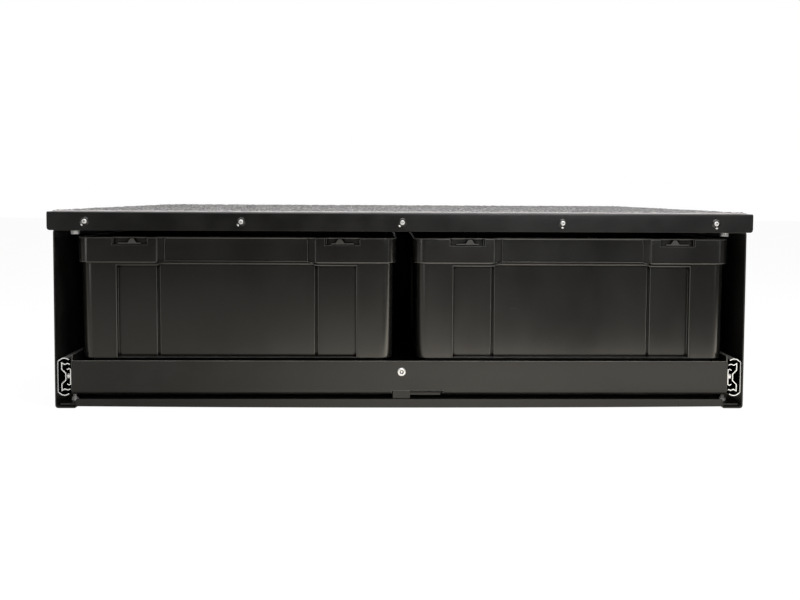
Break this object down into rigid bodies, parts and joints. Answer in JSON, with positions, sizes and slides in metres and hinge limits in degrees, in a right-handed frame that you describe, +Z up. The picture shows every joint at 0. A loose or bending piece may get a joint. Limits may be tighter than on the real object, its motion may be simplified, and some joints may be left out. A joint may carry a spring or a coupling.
{
  "type": "drawer unit",
  "caption": "Low, wide drawer unit with a carpeted deck, a full-width sheet-metal tray on ball slides, a lip latch and open storage boxes.",
  "frame": {"origin": "on the floor, under the middle of the closed unit's bounding box", "axes": "+Z up; the front, with the drawer's lip and latch, faces -Y; +X is to the right seen from the front"},
  "size_m": [0.96, 0.7026, 0.2716],
  "materials": {
    "black_coat": "fine-textured satin black powder coat",
    "bright_zinc": "bright zinc-plated sheet steel",
    "screw_steel": "bright machined steel",
    "carpet": "needle-punched grey carpet",
    "board": "dark film-faced plywood",
    "moulded_black": "satin black moulded plastic",
    "spring_steel": "plain spring steel wire"
  },
  "bodies": {
    "carcass": {"deck_board": "board", "deck_carpet": "carpet", "deck_front_trim": "black_coat", "trim_screw_1": "screw_steel", "trim_screw_2": "screw_steel", "trim_screw_3": "screw_steel", "trim_screw_4": "screw_steel", "trim_screw_5": "screw_steel", "deck_bolt_front_left": "screw_steel", "deck_bolt_front_right": "screw_steel", "deck_bolt_rear_left": "screw_steel", "deck_bolt_rear_right": "screw_steel", "side_plate_left": "black_coat", "side_plate_right": "black_coat", "base_crossmember_front": "black_coat", "base_crossmember_rear": "black_coat", "rear_panel": "black_coat", "base_nut_front_left": "screw_steel", "base_nut_front_right": "screw_steel", "base_nut_rear_left": "screw_steel", "base_nut_rear_right": "screw_steel", "slide_cabinet_left": "bright_zinc", "slide_cabinet_right": "bright_zinc", "cabinet_rivet_front_left": "bright_zinc", "cabinet_rivet_front_right": "bright_zinc", "cabinet_rivet_rear_left": "bright_zinc", "cabinet_rivet_rear_right": "bright_zinc"},
    "drawer": {"tray": "black_coat", "slide_drawer_left": "bright_zinc", "slide_drawer_right": "bright_zinc", "drawer_rivet_front_left": "bright_zinc", "drawer_rivet_front_right": "bright_zinc", "drawer_rivet_rear_left": "bright_zinc", "drawer_rivet_rear_right": "bright_zinc", "storage_box_front_left": "moulded_black", "storage_box_front_right": "moulded_black", "storage_box_rear_left": "moulded_black", "storage_box_rear_right": "moulded_black", "latch_pivot_screw": "screw_steel", "latch_pivot_nut": "screw_steel", "latch_spring": "spring_steel"},
    "middle_left": {"slide_middle_left": "bright_zinc"},
    "middle_right": {"slide_middle_right": "bright_zinc"},
    "outer_cage_left": {"ball_cage_outer_left": "bright_zinc"},
    "outer_cage_right": {"ball_cage_outer_right": "bright_zinc"},
    "inner_cage_left": {"ball_cage_inner_left": "bright_zinc"},
    "inner_cage_right": {"ball_cage_inner_right": "bright_zinc"},
    "latch": {"latch_lever": "black_coat"}
  },
  "joints": [
    {"name": "drawer_slide", "type": "slide", "parent": "carcass", "child": "drawer", "axis": [0, -1, 0], "range_m": [0, 0.65]},
    {"name": "middle_left_slide", "type": "slide", "parent": "carcass", "child": "middle_left", "axis": [0, -1, 0], "range_m": [0, 0.325]},
    {"name": "middle_right_slide", "type": "slide", "parent": "carcass", "child": "middle_right", "axis": [0, -1, 0], "range_m": [0, 0.325]},
    {"name": "outer_cage_left_slide", "type": "slide", "parent": "carcass", "child": "outer_cage_left", "axis": [0, -1, 0], "range_m": [0, 0.1625]},
    {"name": "outer_cage_right_slide", "type": "slide", "parent": "carcass", "child": "outer_cage_right", "axis": [0, -1, 0], "range_m": [0, 0.1625]},
    {"name": "inner_cage_left_slide", "type": "slide", "parent": "carcass", "child": "inner_cage_left", "axis": [0, -1, 0], "range_m": [0, 0.4875]},
    {"name": "inner_cage_right_slide", "type": "slide", "parent": "carcass", "child": "inner_cage_right", "axis": [0, -1, 0], "range_m": [0, 0.4875]},
    {"name": "latch_hinge", "type": "hinge", "parent": "drawer", "child": "latch", "pos_m": [0, -0.3381, 0.0503], "axis": [0, -1, 0], "range_deg": [0, 18], "stiffness_Nm_per_rad": 0.2, "springref_deg": -17.19}
  ],
  "couplings": [
    {"joint": "middle_left_slide", "follows": "drawer_slide", "ratio": 0.5},
    {"joint": "middle_right_slide", "follows": "drawer_slide", "ratio": 0.5},
    {"joint": "outer_cage_left_slide", "follows": "drawer_slide", "ratio": 0.25},
    {"joint": "outer_cage_right_slide", "follows": "drawer_slide", "ratio": 0.25},
    {"joint": "inner_cage_left_slide", "follows": "drawer_slide", "ratio": 0.75},
    {"joint": "inner_cage_right_slide", "follows": "drawer_slide", "ratio": 0.75}
  ]
}
